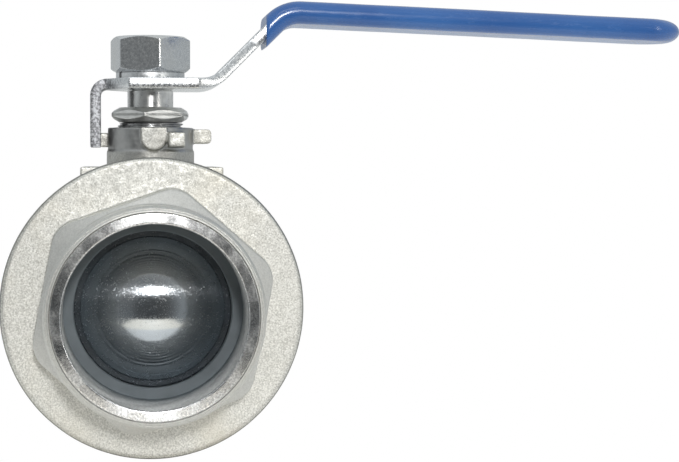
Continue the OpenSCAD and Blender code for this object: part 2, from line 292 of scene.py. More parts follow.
def block(name, low, high):
    """A plain box, used only as a cutting tool."""
    low, high = np.asarray(low, float), np.asarray(high, float)
    verts = [[(low, high)[c >> k & 1][k] for k in range(3)] for c in range(8)]
    faces = [[0, 2, 3, 1], [4, 5, 7, 6], [0, 1, 5, 4], [2, 6, 7, 3], [0, 4, 6, 2], [1, 3, 7, 5]]
    return piece(name, verts, faces)


# ---------------------------------------------------------------- pipe ends
# The last band marks rows painted with shade: a darker copy of the cast finish, on the flange's rim and at
# the edge of the collar.
CAST, FACE, BORE, PAINTED_SHADE_RIM = 0, 1, 2, 3


class Rows:
    """Rows of polar radius and height, each with the index of its finish."""

    def __init__(self, theta):
        self.theta, self.radii, self.along, self.bands = theta, [], [], []

    def add(self, radii, along, band):
        radii = np.broadcast_to(np.asarray(radii, float), self.theta.shape)
        along = np.broadcast_to(np.asarray(along, float), self.theta.shape)
        self.radii.append(radii)
        self.along.append(along)
        self.bands.append(band)

    def follow(self, points, band):
        for r, y in points:
            self.add(r, y, band)

    def follow_back(self, other):
        """Adds the rows of other from its last to its first."""
        for r, y, band in zip(other.radii[::-1], other.along[::-1], other.bands[::-1]):
            self.add(r, y, band)

    def points(self, axis):
        return turned(np.array(self.radii), np.array(self.along), self.theta, axis)


def thread_rows(rows, start, end):
    """Internal pipe thread: crests on the minor radius, roots cut outwards."""
    steps = int(abs(end - start) / (PIPE_PITCH / 9))
    fade = 2.2
    for y in np.linspace(start, end, steps):
        turns = y / PIPE_PITCH - rows.theta / (2 * math.pi)
        near = min(abs(y - start), abs(end - y))
        depth = PIPE_THREAD_H * smooth(near / fade)
        rows.add(THREAD_R + depth * ridge(turns), y, BORE)


def socket_rows(rows, face_y, inward):
    """Bore of a pipe end from the seat pocket out to the mouth of the thread."""

    def at(depth):
        return face_y + inward * depth

    rows.follow(straight([SEAT_R, at(SEAT_DEPTH)], [SEAT_R, at(LIP_DEPTH)], 2), BORE)
    rows.follow(straight([SEAT_R - 0.2, at(LIP_DEPTH)], [PORT_R + 0.2, at(LIP_DEPTH)], 2), BORE)
    rows.follow(straight([PORT_R, at(LIP_DEPTH - 0.2)], [PORT_R, at(SOCKET_DEPTH + 0.35)], 0.7), BORE)
    rows.add(PORT_R, at(SOCKET_DEPTH + 0.3), BORE)
    rows.follow(straight([PORT_R + 0.35, at(SOCKET_DEPTH)], [RELIEF_R - 0.2, at(SOCKET_DEPTH)], 0.5), BORE)
    rows.follow(straight([RELIEF_R, at(SOCKET_DEPTH - 0.2)], [RELIEF_R, at(THREAD_DEPTH + 0.5)], 0.7), BORE)
    thread_rows(rows, at(THREAD_DEPTH), at(0.55))


def pipe_outside(theta, depth, corner_deg):
    """Radius of the collar, chamfer and wrench hexagon at a depth from the end face."""
    flats = hexagon(theta, HEX_AF, HEX_CORNER, corner_deg)
    cone = COLLAR_R + (depth - HEX_SETBACK) / CHAMFER
    return soft_max(COLLAR_R, soft_min(flats, cone, 0.5), 0.5)


def collar_rows(rows, face_y, inward):
    """Machined end face, from the thread's mouth to the rounded edge of the collar."""

    def at(depth):
        return face_y + inward * depth

    rows.follow([[THREAD_R + 0.05, at(0.35)], [THREAD_R + 0.25, at(0.1)]], FACE)
    rows.follow([[r, at(0)] for r in np.linspace(THREAD_R + 0.45, FACE_R - 0.15, 9)], FACE)
    steps = 36
    edge = arc([FACE_R, COLLAR_EDGE], COLLAR_EDGE, -90, 0, steps)
    for a, (r, d) in zip(np.linspace(-90, 0, steps + 1), edge):
        groove = 0.28 * (np.exp(-((a + 84) / 3) ** 2) + 0.8 * np.exp(-((a + 57) / 4) ** 2))
        # A narrow band at the start of the collar's rounded edge, over the first groove, takes the painted
        # shade.
        rows.add(r, at(d + groove), PAINTED_SHADE_RIM if -88 < a < -79 else CAST)


def hexagon_depths(last):
    """Depths at which the wrench hexagon is sampled, dense over the chamfer."""
    start, end = HEX_SETBACK - 0.6, HEX_SETBACK + 4.4
    return np.r_[np.arange(2.9, start, 1.1), np.arange(start, end, 0.13), np.arange(end + 0.2, last, 1.2)]


def build_end_cap():
    """End cap: turned face, cast hexagon and flange, threaded spigot and bores."""
    theta = angles(432)
    rows = Rows(theta)
    socket_rows(rows, CAP_LOW[1], 1)
    collar_rows(rows, CAP_LOW[1], 1)
    for depth in hexagon_depths(FLANGE_Y - 2.2):
        rows.add(pipe_outside(theta, depth, INLET_CORNER), depth, CAST)
    fillet = 0.8
    side = pipe_outside(theta, FLANGE_Y - fillet, INLET_CORNER)
    for a in np.radians(np.linspace(0, 90, 8)):
        rows.add(side + fillet * (1 - math.cos(a)), FLANGE_Y - fillet * (1 - math.sin(a)), CAST)
    outer = FLANGE_R - FLANGE_EDGE
    for t in np.linspace(0, 1, 22)[1:]:
        rows.add((side + fillet) * (1 - t) + outer * t, FLANGE_Y, CAST)
    rim = arc([outer, FLANGE_Y + FLANGE_EDGE], FLANGE_EDGE, -90, 0, 8)
    rows.follow(rim[1:4], CAST)
    # The outer part of the flange's rounded rim takes the painted shade.
    rows.follow(rim[4:], PAINTED_SHADE_RIM)
    back = 0.5
    rows.follow(straight([FLANGE_R, FLANGE_Y + 2.0], [FLANGE_R, JOINT_Y - back], 0.8), CAST)
    rows.follow(arc([FLANGE_R - back, JOINT_Y - back], back, 0, 90, 3)[1:], CAST)
    rows.follow(straight([FLANGE_R - 1.5, JOINT_Y], [SPIGOT_R + 0.3, JOINT_Y], 1), BORE)
    pitch = 2.0
    for y in np.arange(JOINT_Y + 0.2, SPIGOT_Y - 0.9, pitch / 7):
        turns = y / pitch - theta / (2 * math.pi)
        rows.add(SPIGOT_R - 0.75 * ridge(turns), y, BORE)
    rows.follow(straight([SPIGOT_R - 0.8, SPIGOT_Y], [CAVITY_R, SPIGOT_Y], 0.6), BORE)
    rows.follow(straight([CAVITY_R, SPIGOT_Y - 0.3], [CAVITY_R, SEAT_DEPTH], 1), BORE)
    rows.follow(straight([CAVITY_R - 0.4, SEAT_DEPTH], [SEAT_R + 0.3, SEAT_DEPTH], 1), BORE)
    points = rows.points("Y")
    return skin("end_cap_cast", unevenness(points, rows.bands), True, rows.bands)


def unevenness(points, bands, amount=0.07):
    """Moves the points of cast rows a little, as sand and wax leave them."""
    cast = np.isin(bands, (CAST, PAINTED_SHADE_RIM)).astype(float)
    fade = np.convolve(np.r_[cast[0], cast, cast[-1]], [0.25, 0.5, 0.25], "valid") * cast
    wave = ripple(points, 17.0, 3) + 0.45 * ripple(points, 6.0, 4)
    moved = points.copy()
    radial = points * [1, 0, 1]
    radial /= np.linalg.norm(radial, axis=-1, keepdims=True) + 1e-9
    push = (wave * fade[:, None])[..., None] * amount
    moved += push * radial * 0.6
    low, high = np.minimum(CAP_LOW, BODY_LOW), np.maximum(CAP_HIGH, BODY_HIGH)
    moved[..., 1] += (push[..., 0] * 0.9).clip(-0.1, 0.1)
    over = np.hypot(moved[..., 0], moved[..., 2]) / FLANGE_R
    moved[..., [0, 2]] /= np.maximum(over, 1)[..., None]
    moved[..., 1] = moved[..., 1].clip(low[1], high[1])
    return moved


def build_body():
    """Body: barrel and outlet end, joined to the remeshed pad, neck and lugs."""
    theta = angles(360)
    rows = Rows(theta)
    rows.follow(straight([BORE_R, BORE_Y], [BORE_R, JOINT_Y + 0.4], 0.8), BORE)
    rows.follow(straight([BORE_R + 0.4, JOINT_Y], [BARREL_R - 0.5, JOINT_Y], 0.8), BORE)
    straight_part = np.arange(JOINT_Y + 0.5, BARREL_Y, 2.0)
    round_part = np.arange(BARREL_Y, FACE_TO_FACE - OUTLET_HEX_END, 0.5)
    outlet_part = FACE_TO_FACE - hexagon_depths(OUTLET_HEX_END)[::-1]
    for y in np.r_[straight_part, round_part, outlet_part]:
        fall = max(0.0, y - BARREL_Y)
        inside = BARREL_ROUND**2 - fall**2
        barrel = BARREL_R - BARREL_ROUND + (math.sqrt(inside) if inside > 0 else -BARREL_ROUND)
        if y < BARREL_Y:
            rows.add(barrel, y, CAST)
        else:
            pipe = pipe_outside(theta, FACE_TO_FACE - y, OUTLET_CORNER)
            rows.add(soft_max(np.full(theta.shape, barrel), pipe, 1.6), y, CAST)
    for make_rows in (collar_rows, socket_rows):
        outlet = Rows(theta)
        make_rows(outlet, FACE_TO_FACE, -1)
        rows.follow_back(outlet)
    far = FACE_TO_FACE - SEAT_DEPTH
    rows.follow(straight([SEAT_R + 0.3, far], [CAVITY_R - 0.3, far], 1), BORE)
    rows.follow(straight([CAVITY_R, far - 0.3], [CAVITY_R, BORE_Y + 0.3], 2), BORE)
    rows.follow(straight([CAVITY_R + 0.2, BORE_Y], [BORE_R - 0.3, BORE_Y], 1), BORE)
    points = unevenness(rows.points("Y"), rows.bands)
    barrel = skin("body_cast", points, True, rows.bands)
    cut(barrel, build_neck(), "UNION")
    for tool in neck_tools():
        cut(barrel, tool)
    return crisp(barrel)


def build_neck():
    """Pad, neck and lugs, remeshed from the CAD solid so that every edge is cast round."""
    reach, floor = PAD_HALF + 4.0, 35.0
    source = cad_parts["body_casting"]
    neck = bpy.data.objects.new("neck_cast", source.data.copy())
    bpy.context.scene.collection.objects.link(neck)
    neck.data.materials.clear()
    bm = bmesh.new()
    bm.from_mesh(neck.data)
    bmesh.ops.remove_doubles(bm, verts=bm.verts, dist=0.002 * MM)
    bm.to_mesh(neck.data)
    bm.free()
    keep = block("keep", [-reach, STEM_Y - reach + 1.8, floor], [reach, STEM_Y + reach, 60])
    cut(neck, keep, "INTERSECT")
    voxel = neck.modifiers.new("voxel", "REMESH")
    voxel.mode = "VOXEL"
    voxel.voxel_size = 0.36 * MM
    soften = neck.modifiers.new("soften", "SMOOTH")
    soften.factor = 0.5
    soften.iterations = 5
    bake(neck)
    mesh = neck.data
    co = np.zeros(len(mesh.vertices) * 3, np.float32)
    mesh.vertices.foreach_get("co", co)
    points = co.reshape(-1, 3).astype(float) / MM
    away = np.maximum(abs(points[:, 0]), abs(points[:, 1] - STEM_Y))
    dip = smooth((away - PAD_HALF - 1.0) / 1.6) * (points[:, 2] > floor + 0.5)
    points[:, 2] -= 0.9 * dip
    rise = smooth((points[:, 2] - PAD_TOP - 1) / 2)
    points += (ripple(points, 5.0, 11) * rise)[:, None] * 0.05
    mesh.vertices.foreach_set("co", (points * MM).astype(np.float32).ravel())
    mesh.update()
    return neck


def neck_tools():
    """Clean bores for the stem, its packing and the four tapped holes of the pad."""
    theta = angles(96)
    clear = 0.06
    profile = np.array([
        [0.5, 30], [SHOULDER_BORE, 30], [SHOULDER_BORE, SHOULDER_BORE_TOP],
        [STEM_BORE, SHOULDER_BORE_TOP], [STEM_BORE, CHAMBER_Z - clear],
        [CHAMBER_R + clear, CHAMBER_Z - clear], [CHAMBER_R + clear, 57.7],
        [CHAMBER_R + 0.6, 58.3], [CHAMBER_R + 0.6, 62], [0.5, 62],
    ])
    tools = [skin("stem_bore", turned(profile[:, :1], profile[:, 1:], theta, "Z"))]
    hole_theta = angles(40)
    floor = PAD_TOP - PAD_HOLE_DEPTH
    for x in (-PAD_HOLE_AT, PAD_HOLE_AT):
        for y in (-PAD_HOLE_AT, PAD_HOLE_AT):
            shape = np.array([
                [0.3, floor - 0.9], [PAD_HOLE + clear, floor + 0.2], [PAD_HOLE + clear, PAD_TOP - 0.5],
                [PAD_HOLE + 0.6, PAD_TOP + 0.1], [PAD_HOLE + 0.6, PAD_TOP + 0.8], [0.3, PAD_TOP + 0.8],
            ])
            points = turned(shape[:, :1], shape[:, 1:], hole_theta, "Z")
            tools.append(skin("pad_hole", points + [x, y, 0]))
    return tools


# ---------------------------------------------------------------- ball, stem
def build_ball():
    """Ball with a full port along X, a broken edge round the port and the stem's slot."""
    theta = angles(288)
    edge_x = math.sqrt(BALL_R**2 - PORT_R**2)
    rim = math.degrees(math.atan2(PORT_R + 0.5, edge_x - 0.4))
    sphere = arc([0, 0], BALL_R, rim, 180 - rim, 150)
    sphere_rx = sphere[:, ::-1]
    lip = [[PORT_R + 0.12, -edge_x + 0.15], [PORT_R, -edge_x + 0.6]]
    bore = straight([PORT_R, -edge_x + 0.6], [PORT_R, edge_x - 0.6], 3)
    profile = trail(sphere_rx, lip, bore, [[PORT_R + 0.12, edge_x - 0.15]])
    ball = skin("ball_polished", turned(profile[:, :1], profile[:, 1:], theta, "X"), True, angle=25)
    slot = block("slot", [-SLOT_HALF, STEM_Y - 60, SLOT_FLOOR], [SLOT_HALF, STEM_Y + 60, 60])
    cut(ball, slot)
    return crisp(ball, 25)


def build_stem():
    """Stem: tang, shoulder, O-ring groove, polished shank and threaded end with two flats."""
    theta = angles(192)
    rows = Rows(theta)
    tang = np.minimum(SHOULDER_R, TANG_HALF / np.maximum(abs(np.cos(theta)), 1e-6))
    low = STEM_LOW[2]
    rows.add(tang * 0.97 - 0.1, low, 0)
    for z in np.linspace(low + 0.4, SHOULDER_Z, 6):
        rows.add(tang, z, 0)
    rows.follow(trail(
        [[SHOULDER_R - 0.3, SHOULDER_Z + 0.02]], [[SHOULDER_R, SHOULDER_Z + 0.3]],
        [[SHOULDER_R, STEM_BODY_Z - 0.3]], [[SHOULDER_R - 0.3, STEM_BODY_Z]],
        [[STEM_R + 0.2, STEM_BODY_Z]], [[STEM_R, STEM_BODY_Z + 0.2]],
        [[STEM_R, GROOVE_LOW - 0.1]], [[STEM_R - 0.1, GROOVE_LOW]], [[GROOVE_R, GROOVE_LOW + 0.05]],
        [[GROOVE_R, GROOVE_HIGH - 0.05]], [[STEM_R - 0.1, GROOVE_HIGH]], [[STEM_R, GROOVE_HIGH + 0.1]],
        straight([STEM_R, 46], [STEM_R, LEVER_Z - 0.5], 1.5), [[STEM_R - 0.35, LEVER_Z - 0.05]],
    ), 0)
    flats = FLAT_HALF / np.maximum(abs(np.sin(theta)), 1e-6)
    top = STEM_HIGH[2]
    pitch = 1.5
    rows.add(soft_min(np.full(theta.shape, STEM_END_R), flats, 0.1), LEVER_Z, 0)
    for z in np.arange(LEVER_Z + 0.3, top - 0.8, pitch / 8):
        depth = 0.55 * smooth((z - LEVER_Z - 5.5) / 1.5)
        radius = STEM_END_R - depth * ridge(z / pitch - theta / (2 * math.pi))
        rows.add(soft_min(radius, flats, 0.1), z, 0)
    for z, inset in ((top - 0.7, 0.25), (top - 0.25, 0.7), (top - 0.05, 0.95), (top, 1.3)):
        rows.add(np.minimum(STEM_END_R - inset, flats - 0.1 * inset), z, 0)
    for r in (4.0, 2.0, 0.5):
        rows.add(r, top, 0)
    return skin("stem_turned", rows.points("Z"), angle=35)


# -------------------------------------------------------------------- nuts
def hex_rows(rows, across_flats, corner_deg, low, high, end_r, hole_r, corner_r=0.9):
    """Hexagonal nut between two heights: faces, chamfers and sides around a hole."""
    flats = hexagon(rows.theta, across_flats, corner_r, corner_deg)
    span = high - low
    rows.add(hole_r + 0.5, low, 0)
    rows.add(end_r - 0.35, low, 0)
    reach = across_flats / 2 / math.cos(math.pi / 6)
    run = (reach - end_r) * CHAMFER
    fine = np.linspace(0, run * 1.25, 14)
    heights = np.r_[fine, np.linspace(run * 1.4, span - run * 1.4, 7), span - fine[::-1]]
    for h in heights:
        cone = end_r + np.minimum(h, span - h) / CHAMFER
        rows.add(soft_min(flats, cone, 0.22), low + h, 0)
    rows.add(end_r - 0.35, high, 0)
    rows.add(hole_r + 0.5, high, 0)


def build_handle_nut():
    """Lever nut, chamfered at both ends, with a plain round bore where its thread would be."""
    theta = corner_angles(360, NUT_CORNER)
    rows = Rows(theta)
    low, high = NUT_LOW[2], NUT_HIGH[2]
    bore = STEM_END_R + 0.02
    hex_rows(rows, NUT_AF, NUT_CORNER, low, high, NUT_END_R, bore)
    rows.follow(straight([bore, high - 0.5], [bore, low + 0.5], 1.5), 1)
    return skin("handle_nut_hex", rows.points("Z"), True, rows.bands, angle=24)


def build_gland_nut():
    """Gland nut: low hexagon above a thread that screws into the neck."""
    theta = corner_angles(360, GLAND_CORNER)
    rows = Rows(theta)
    low, high = GLAND_LOW[2], GLAND_HIGH[2]
    pitch = 1.25
    bore = STEM_R + 0.2
    for z in np.arange(low, GLAND_HEX_Z - 0.25, pitch / 9):
        turns = z / pitch + theta / (2 * math.pi)
        rows.add(GLAND_THREAD_R - 0.85 * ridge(turns), z, 1)
    hex_rows(rows, NUT_AF, GLAND_CORNER, GLAND_HEX_Z, high, GLAND_END_R, bore, 1.2)
    rows.follow(straight([bore, high - 0.5], [bore, low], 1.5), 1)
    return skin("gland_nut_hex", rows.points("Z"), True, rows.bands, angle=24)


def build_lock_washer():
    """Split spring washer: a flattened coil with square-cut ends."""
    inner = STEM_END_R + 0.2
    outer = (WASHER_HIGH[0] - WASHER_LOW[0]) / 2
    low, high = WASHER_LOW[2], WASHER_HIGH[2]
    half_gap = math.degrees(0.6 / ((inner + outer) / 2))
    r = 0.3
    loop = trail(
        arc([outer - r, low + r], r, -90, 0, 3), arc([outer - r, high - r], r, 0, 90, 3),
        arc([inner + r, high - r], r, 90, 180, 3), arc([inner + r, low + r], r, 180, 270, 3),
    )
    rows = []
    for a in np.linspace(SPLIT_DEG + half_gap, SPLIT_DEG + 360 - half_gap, 220):
        t = math.radians(a)
        twist = 0.12 * ((a - SPLIT_DEG - 180) / 180) ** 5
        z = np.clip(loop[:, 1] + twist, low, high)
        rows.append(np.column_stack([
            loop[:, 0] * math.cos(t), STEM_Y + loop[:, 0] * math.sin(t), z,
        ]))
    return skin("lock_washer_split", rows)


# ------------------------------------------------------------------- lever
class BentLine:
    """A line of straights and bends in the XZ plane, measured by its length."""

    def __init__(self, x, z, heading):
        self.stretches, self.end, self.length = [], (x, z, math.radians(heading)), 0.0

    def go(self, length, turn=0.0):
        """Goes on by a length while turning left by an angle in degrees."""
        x, z, heading = self.end
        bend = math.radians(turn) / length
        self.stretches.append((self.length, x, z, heading, bend))
        self.length += length
        self.end = self.at(self.length)
        return self

    def at(self, s):
        """Position and heading at a length along the line."""
        chosen = self.stretches[0]
        for stretch in self.stretches:
            if s >= stretch[0]:
                chosen = stretch
        start, x, z, heading, bend = chosen
        run = s - start
        if abs(bend) < 1e-9:
            return x + run * math.cos(heading), z + run * math.sin(heading), heading
        now = heading + bend * run
        x += (math.sin(now) - math.sin(heading)) / bend
        z -= (math.cos(now) - math.cos(heading)) / bend
        return x, z, now

    def place(self, s, across, up):
        """Points across and up from the line, in the object's frame."""
        x, z, heading = np.array([self.at(v) for v in np.atleast_1d(s)]).T
        return np.stack([x - up * np.sin(heading), STEM_Y + across + 0 * x, z + up * np.cos(heading)], -1)


def lever_line():
    """Middle of the lever's plate, from the foot of the stop tab to the tip."""
    outer_x = LEVER_LOW[0]
    mid_r = TAB_BEND_R - PLATE_T / 2
    line = BentLine(outer_x + PLATE_T / 2, LEVER_LOW[2], 90)
    line.go(MID_Z - mid_r - LEVER_LOW[2])
    line.go(mid_r * math.pi / 2, -90)
    line.go(LOWER_BEND_X - (outer_x + TAB_BEND_R))
    line.go(LOWER_BEND_R * math.radians(RISE_DEG), RISE_DEG)
    line.go(RISE)
    fall = RISE_DEG + DROOP_DEG
    line.go(UPPER_BEND_R * math.radians(fall), -fall)
    tip_x = LEVER_HIGH[0]
    line.go((tip_x - line.end[0]) / math.cos(math.radians(DROOP_DEG)))
    return line


def length_at_x(line, x, start):
    """Length along the line at which it passes over x, beyond start."""
    low, high = start, line.length
    for _ in range(40):
        middle = (low + high) / 2
        if line.at(middle)[0] < x:
            low = middle
        else:
            high = middle
    return low


def rounded_outline(corners, radii, step):
    """Points and outward normals along a polyline whose corners are rounded."""
    corners = np.asarray(corners, float)
    points = [corners[0]]
    for before, corner, after, r in zip(corners, corners[1:], corners[2:], radii):
        u = (corner - before) / np.linalg.norm(corner - before)
        v = (after - corner) / np.linalg.norm(after - corner)
        turn = math.atan2(u[0] * v[1] - u[1] * v[0], float(u @ v))
        reach = r * math.tan(abs(turn) / 2)
        start = corner - u * reach
        points.extend(straight(points[-1], start, step)[1:])
        side = np.array([-u[1], u[0]]) * math.copysign(1, turn)
        centre = start + side * r
        steps = max(4, int(abs(turn) * r / step * 2.5))
        for a in np.linspace(0, turn, steps + 1)[1:]:
            c, s = math.cos(a), math.sin(a)
            arm = start - centre
            points.append(centre + [arm[0] * c - arm[1] * s, arm[0] * s + arm[1] * c])
    points.extend(straight(points[-1], corners[-1], step)[1:])
    return np.array(points)


def with_round_tip(points, tip_s, half_w, steps=40):
    """Adds the quarter of a half-round tip that ends the outline on the centre line."""
    tip = arc([tip_s - half_w, 0], half_w, 90, 0, steps)
    return trail(points, tip)


def outward(points):
    """Unit normals to the left of an outline that runs along +s, away from the centre."""
    step = np.gradient(points, axis=0)
    step /= np.linalg.norm(step, axis=1, keepdims=True)
    return np.column_stack([-step[:, 1], step[:, 0]])


def section(edge_steps=6, columns=9):
    """Loop of a rounded plate: share of the half width, edge angle and which face."""
    loop = [(f, math.pi / 2) for f in np.linspace(1, -1, columns)]
    loop += [(-1, a) for a in np.linspace(math.pi / 2, -math.pi / 2, edge_steps + 1)[1:-1]]
    loop += [(f, -math.pi / 2) for f in np.linspace(-1, 1, columns)]
    loop += [(1, a) for a in np.linspace(-math.pi / 2, math.pi / 2, edge_steps + 1)[1:-1]]
    return np.array(loop)


def plate_rows(line, outline, half_t, edge_w, edge_t, loop, shear=None):
    """Rows of a bent plate: the outline is a half width at each length, the edges are rounded."""
    outline = np.atleast_2d(outline)
    normals = outward(outline) if len(outline) > 1 else np.array([[0.0, 1.0]])
    if outline[-1, 1] < 1e-6:
        normals[-1] = [1, 0]
    rows = []
    edge_w = np.broadcast_to(edge_w, len(outline))
    edge_t = np.broadcast_to(edge_t, len(outline))
    for (s, w), (ns, nw), ew, et in zip(outline, normals, edge_w, edge_t):
        share, a = loop[:, 0], loop[:, 1]
        inset = ew * (1 - np.cos(a))
        up = np.sign(np.sin(a)) * (half_t - et) + et * np.sin(a)
        up = np.where(abs(np.sin(a)) < 1e-6, 0, up)
        across = share * np.maximum(w - inset * nw, 0)
        along = s - inset * ns
        if shear is not None:
            along = along + shear(along, up)
        rows.append(line.place(along, across, up))
    return rows


def lever_outline(line):
    """Half outline of the lever in (length, half width), from tab to tip."""
    shoulder = line.stretches[2][0]
    hub = length_at_x(line, HUB_X, shoulder)
    hub_end = length_at_x(line, HUB_END_X, hub)
    taper = length_at_x(line, TAPER_X, hub)
    corners = [
        [0, TAB_HALF], [shoulder, TAB_HALF], [hub, HUB_HALF], [hub_end, HUB_HALF],
        [taper, ARM_HALF], [line.length - ARM_HALF, ARM_HALF],
    ]
    points = rounded_outline(corners, [1.0, 1.0, 5.0, 8.0], 0.9)
    return with_round_tip(points, line.length, ARM_HALF)


def build_lever():
    """Pressed steel lever: stop tab, hub, rise and arm in one rounded plate."""
    line = lever_line()
    outline = lever_outline(line)
    edge, crown = 0.35, 0.8
    half_t = PLATE_T / 2
    loop = section(edge_steps=8, columns=15)
    rows = []
    for a in np.radians([0, 30, 60]):
        inset = edge * (1 - math.sin(a))
        foot = [edge * (1 - math.cos(a)), TAB_HALF - inset]
        rows += plate_rows(line, foot, half_t - inset, 0.01, 0.01, loop)
    body = outline[outline[:, 0] > edge]
    rows += plate_rows(line, body, half_t, edge, crown, loop)
    lever = skin("handle_lever_pressed", rows, weld=0.0005, fans=(True, False))
    theta = angles(120)
    slack = 0.1
    hole = soft_min(
        np.full(theta.shape, STEM_END_R + slack),
        (FLAT_HALF + slack) / np.maximum(abs(np.sin(theta)), 1e-6), 0.1,
    )
    ends = np.array([[LEVER_Z - 3], [LEVER_Z + 8]])
    cut(lever, skin("hole", turned(hole[None, :].repeat(2, 0), ends, theta, "Z")))
    return crisp(lever, 30)


def build_grip():
    """Dipped vinyl sleeve, hollow round the steel, with a full-round nose."""
    line = lever_line()
    reach = 0.02
    half_w, half_t = ARM_HALF + SLEEVE_T, PLATE_T / 2 + SLEEVE_T
    droop = math.cos(math.radians(DROOP_DEG))
    tip_s = line.length + (GRIP_HIGH[0] - LEVER_HIGH[0]) / droop
    bend_end = line.stretches[4][0]
    start = length_at_x(line, SLEEVE_X, bend_end)
    blend = 9.0

    def shear(along, up):
        """Cuts the open end upright although the line rises there."""
        return up * math.tan(math.radians(RISE_DEG)) * smooth(1 - (along - start) / blend)

    def outline(half, end, first):
        side = straight([first, half], [end - half, half], 1.1)
        return with_round_tip(side, end, half, 60)

    loop = section(edge_steps=22, columns=17)
    outer = outline(half_w, tip_s, start + 0.6)
    nose = smooth((outer[:, 0] - (tip_s - half_w)) / half_w)
    soft_w, soft_t = 4.2, 3.4
    edge_w = soft_w + 1.4 * nose
    edge_t = soft_t + (half_t - soft_t) * nose
    wavy = []
    for row in plate_rows(line, outer, half_t, edge_w, edge_t, loop, shear):
        swell = ripple(row, 26.0, 21)[:, None] * 0.05
        centre = row.mean(0)
        wavy.append(row + (row - centre) / half_t * swell * [0, 0, 1])
    lip, lip_r = [], 0.6
    for a in np.radians([60, 30, 0]):
        inset = lip_r * (1 - math.sin(a))
        shape = [start + lip_r * (1 - math.cos(a)), half_w - inset]
        lip += plate_rows(line, shape, half_t - inset, soft_w - inset, soft_t - inset, loop, shear)
    gap = ARM_HALF + reach
    inner = outline(gap, line.length + reach, start + 0.05)
    inner_rows = plate_rows(line, inner, PLATE_T / 2 + reach, 0.3, 0.3, loop, shear)
    mouth = plate_rows(line, [start, gap + 0.35], PLATE_T / 2 + 0.35, 0.3, 0.3, loop, shear)
    rows = wavy[::-1] + lip + mouth + inner_rows
    return skin("handle_grip_sleeve", rows, weld=0.0005, angle=40, fans=(False, False))


# ---------------------------------------------------------------- finishes
def times(colour, factor):
    """A colour made lighter or darker by a factor."""
    return tuple(min(1, c * factor) for c in colour)


def set_range(node, low, high, to_low, to_high):
    """Sets a Map Range node to take low..high to to_low..to_high."""
    for key, number in (("From Min", low), ("From Max", high), ("To Min", to_low), ("To Max", to_high)):
        node.inputs[key].default_value = number


class Finish:
    """A procedural material: a Principled shader and short calls that add nodes to it."""

    def __init__(self, name, colour, metallic, roughness, **constants):
        self.material = bpy.data.materials.new(name)
        self.material.use_nodes = True
        self.tree = self.material.node_tree
        self.shader = self.tree.nodes["Principled BSDF"]
        self.shader.inputs["Base Color"].default_value = (*colour, 1)
        self.shader.inputs["Metallic"].default_value = metallic
        self.shader.inputs["Roughness"].default_value = roughness
        for socket, value in constants.items():
            self.shader.inputs[socket.replace("_", " ")].default_value = value
        self.place = self.add("ShaderNodeTexCoord").outputs["Object"]

    def add(self, kind, **settings):
        node = self.tree.nodes.new(kind)
        for key, value in settings.items():
            setattr(node, key, value)
        return node

    def link(self, source, target):
        self.tree.links.new(source, target)

    def stretched(self, scale):
        """Object coordinates stretched by a scale for each axis."""
        node = self.add("ShaderNodeMapping")
        node.inputs["Scale"].default_value = scale
        self.link(self.place, node.inputs["Vector"])
        return node.outputs["Vector"]

    def axes(self):
        """Object coordinates as separate X, Y and Z."""
        split = self.add("ShaderNodeSeparateXYZ")
        self.link(self.place, split.inputs[0])
        return split.outputs

    def noise(self, scale, detail=2.0, rough=0.5, place=None):
        node = self.add("ShaderNodeTexNoise")
        node.inputs["Scale"].default_value = scale
        node.inputs["Detail"].default_value = detail
        node.inputs["Roughness"].default_value = rough
        self.link(place or self.place, node.inputs["Vector"])
        return node.outputs["Fac"]

    def cells(self, scale, place=None):
        node = self.add("ShaderNodeTexVoronoi")
        node.inputs["Scale"].default_value = scale
        self.link(place or self.place, node.inputs["Vector"])
        return node.outputs["Distance"]

    def span(self, value, low, high, to_low=0.0, to_high=1.0):
        """Maps low..high of a value to to_low..to_high, clamped."""
        node = self.add("ShaderNodeMapRange")
        set_range(node, low, high, to_low, to_high)
        self.link(value, node.inputs["Value"])
        return node.outputs["Result"]

    def maths(self, operation, a, b):
        node = self.add("ShaderNodeMath", operation=operation)
        for socket, value in zip(node.inputs, (a, b)):
            if isinstance(value, (int, float)):
                socket.default_value = value
            else:
                self.link(value, socket)
        return node.outputs[0]

    def blend(self, factor, a, b):
        """Colour a blended with colour b by a factor."""
        node = self.add("ShaderNodeMix", data_type="RGBA")
        node.clamp_factor = True
        sockets = [s for s in node.inputs if s.type == "RGBA"]
        for socket, value in zip(sockets, (a, b)):
            if isinstance(value, tuple):
                socket.default_value = (*value, 1)
            else:
                self.link(value, socket)
        if isinstance(factor, (int, float)):
            node.inputs[0].default_value = factor
        else:
            self.link(factor, node.inputs[0])
        return [s for s in node.outputs if s.type == "RGBA"][0]

    def colour(self, value):
        self.link(value, self.shader.inputs["Base Color"])

    def roughness(self, value):
        self.link(value, self.shader.inputs["Roughness"])

    def bump(self, height, distance_mm, strength=1.0, after=None):
        node = self.add("ShaderNodeBump")
        node.inputs["Distance"].default_value = distance_mm * MM
        node.inputs["Strength"].default_value = strength
        self.link(height, node.inputs["Height"])
        if after is not None:
            self.link(after, node.inputs["Normal"])
        self.link(node.outputs["Normal"], self.shader.inputs["Normal"])
        return node.outputs["Normal"]

    def lathe(self, axis, amount):
        """Anisotropic gloss of a surface turned about an axis through the middle of the piece."""
        node = self.add("ShaderNodeTangent", direction_type="RADIAL", axis=axis)
        self.link(node.outputs["Tangent"], self.shader.inputs["Tangent"])
        self.shader.inputs["Anisotropic"].default_value = amount
        self.shader.inputs["Anisotropic Rotation"].default_value = 0.25


